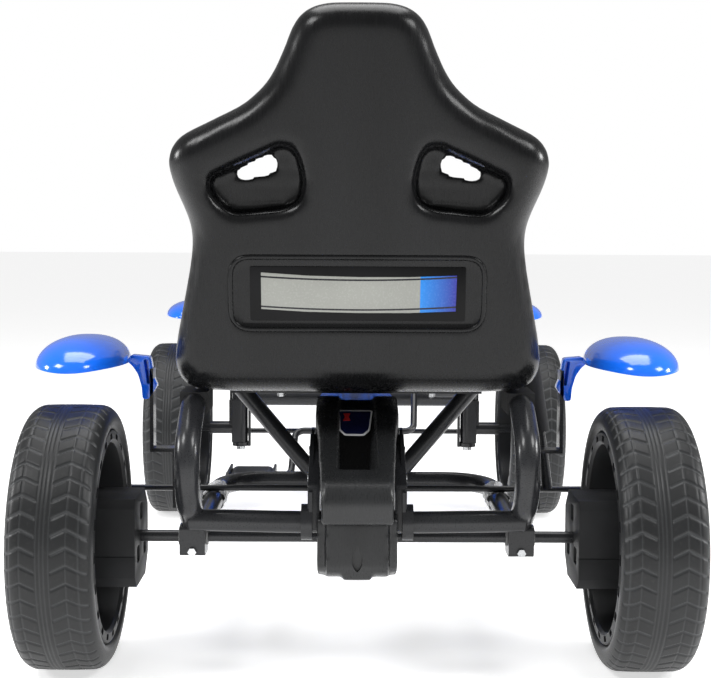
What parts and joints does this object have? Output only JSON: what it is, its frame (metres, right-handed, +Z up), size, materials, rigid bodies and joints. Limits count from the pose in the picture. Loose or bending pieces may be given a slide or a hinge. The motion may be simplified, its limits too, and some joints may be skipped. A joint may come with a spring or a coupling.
{
  "type": "pedal go kart",
  "caption": "Four-wheel chain-driven pedal go kart with a tubular frame, bucket seat, mudguards, hand brake and wheel steering.",
  "frame": {"origin": "on the ground under the middle of the kart's bounding box", "axes": "+Y forward along the kart's length, +X to the driver's right, +Z up"},
  "size_m": [0.676, 1.142, 0.666],
  "materials": {
    "tyre": "moulded tread",
    "rim_plastic": "moulded, fine grain",
    "seat_plastic": "blow-moulded satin",
    "cover_plastic": "moulded semi-gloss",
    "frame_paint": "black powder coat",
    "fender_blue": "glossy blue",
    "bright_steel": "zinc plated",
    "dark_steel": "oiled",
    "bush_plastic": "nylon",
    "plate_face": "printed film",
    "grip_foam": "closed cell",
    "pedal_plastic": "ribbed"
  },
  "bodies": {
    "chassis": {"spine_frame": "frame_paint", "rear_bow_left": "frame_paint", "rear_bow_right": "frame_paint", "rear_cross_tube": "frame_paint", "subframe_tube": "frame_paint", "seat_strut_left": "frame_paint", "seat_strut_right": "frame_paint", "front_beam": "frame_paint", "kingpins": "bright_steel", "axle_clamps": "frame_paint", "bushes": "bush_plastic", "chain": "dark_steel", "chain_cover": "cover_plastic", "chain_cover_tail": "cover_plastic", "cover_brackets": "frame_paint", "seat_shell": "seat_plastic", "seat_plate": "plate_face", "seat_bracket": "frame_paint", "seat_pads": "grip_foam", "rear_fender_left": "fender_blue", "rear_fender_right": "fender_blue", "rear_stays": "frame_paint", "front_fairing": "fender_blue", "fairing_bracket": "frame_paint", "steering_head": "frame_paint", "brake_hangers": "frame_paint", "hex_bolts": "bright_steel", "bracket_screws": "bright_steel"},
    "rear_axle_unit": {"rear_axle": "frame_paint", "rear_sprocket": "dark_steel", "rear_caps": "rim_plastic", "rear_tyre_left": "tyre", "rear_tyre_right": "tyre", "rear_rim_left": "rim_plastic", "rear_rim_right": "rim_plastic", "hub_block_left": "rim_plastic", "hub_block_right": "rim_plastic"},
    "crank_unit": {"crank": "frame_paint", "chainring": "dark_steel"},
    "pedal_left_unit": {"pedal_left": "pedal_plastic"},
    "pedal_right_unit": {"pedal_right": "pedal_plastic"},
    "steering_unit": {"steering_column": "frame_paint", "steering_wheel": "grip_foam"},
    "knuckle_left_unit": {"knuckle_left": "frame_paint", "front_fender_left": "fender_blue", "front_stay_left": "frame_paint"},
    "knuckle_right_unit": {"knuckle_right": "frame_paint", "front_fender_right": "fender_blue", "front_stay_right": "frame_paint"},
    "front_wheel_left": {"front_tyre_left": "tyre", "front_rim_left": "rim_plastic", "front_cap_left": "rim_plastic"},
    "front_wheel_right": {"front_tyre_right": "tyre", "front_rim_right": "rim_plastic", "front_cap_right": "rim_plastic"},
    "tie_rod_left_unit": {"tie_rod_left": "frame_paint"},
    "tie_rod_right_unit": {"tie_rod_right": "frame_paint"},
    "brake_unit": {"brake_shaft": "frame_paint", "brake_grip": "grip_foam", "brake_pads": "grip_foam"}
  },
  "joints": [
    {"name": "axle_spin", "type": "hinge", "parent": "chassis", "child": "rear_axle_unit", "pos_m": [0, -0.436, 0.135], "axis": [1, 0, 0], "continuous": true},
    {"name": "crank_spin", "type": "hinge", "parent": "chassis", "child": "crank_unit", "pos_m": [0, 0.204, 0.153], "axis": [1, 0, 0], "continuous": true},
    {"name": "pedal_left_spin", "type": "hinge", "parent": "crank_unit", "child": "pedal_left_unit", "pos_m": [-0.148, 0.13354, 0.097], "axis": [1, 0, 0], "continuous": true},
    {"name": "pedal_right_spin", "type": "hinge", "parent": "crank_unit", "child": "pedal_right_unit", "pos_m": [0.148, 0.27446, 0.209], "axis": [1, 0, 0], "continuous": true},
    {"name": "steering_turn", "type": "hinge", "parent": "chassis", "child": "steering_unit", "pos_m": [0, 0.384, 0.115], "axis": [0, -0.6018, 0.7986], "range_deg": [-32, 32]},
    {"name": "knuckle_left_turn", "type": "hinge", "parent": "chassis", "child": "knuckle_left_unit", "pos_m": [-0.182, 0.366, 0.15], "axis": [0, 0, 1], "range_deg": [-20, 20]},
    {"name": "knuckle_right_turn", "type": "hinge", "parent": "chassis", "child": "knuckle_right_unit", "pos_m": [0.182, 0.366, 0.15], "axis": [0, 0, 1], "range_deg": [-20, 20]},
    {"name": "tie_rod_left_turn", "type": "hinge", "parent": "knuckle_left_unit", "child": "tie_rod_left_unit", "pos_m": [-0.181, 0.4236, 0.1215], "axis": [0, 0, 1], "range_deg": [-20, 20]},
    {"name": "tie_rod_right_turn", "type": "hinge", "parent": "knuckle_right_unit", "child": "tie_rod_right_unit", "pos_m": [0.181, 0.4236, 0.1215], "axis": [0, 0, 1], "range_deg": [-20, 20]},
    {"name": "front_wheel_left_spin", "type": "hinge", "parent": "knuckle_left_unit", "child": "front_wheel_left", "pos_m": [-0.281, 0.366, 0.135], "axis": [1, 0, 0], "continuous": true},
    {"name": "front_wheel_right_spin", "type": "hinge", "parent": "knuckle_right_unit", "child": "front_wheel_right", "pos_m": [0.281, 0.366, 0.135], "axis": [1, 0, 0], "continuous": true},
    {"name": "brake_pull", "type": "hinge", "parent": "chassis", "child": "brake_unit", "pos_m": [0.211, -0.284, 0.157], "axis": [1, 0, 0], "range_deg": [0, 11]}
  ],
  "couplings": [
    {"joint": "crank_spin", "follows": "axle_spin", "ratio": 0.5},
    {"joint": "knuckle_left_turn", "follows": "steering_turn", "ratio": 0.625},
    {"joint": "knuckle_right_turn", "follows": "steering_turn", "ratio": 0.625},
    {"joint": "tie_rod_left_turn", "follows": "steering_turn", "ratio": -0.625},
    {"joint": "tie_rod_right_turn", "follows": "steering_turn", "ratio": -0.625}
  ]
}
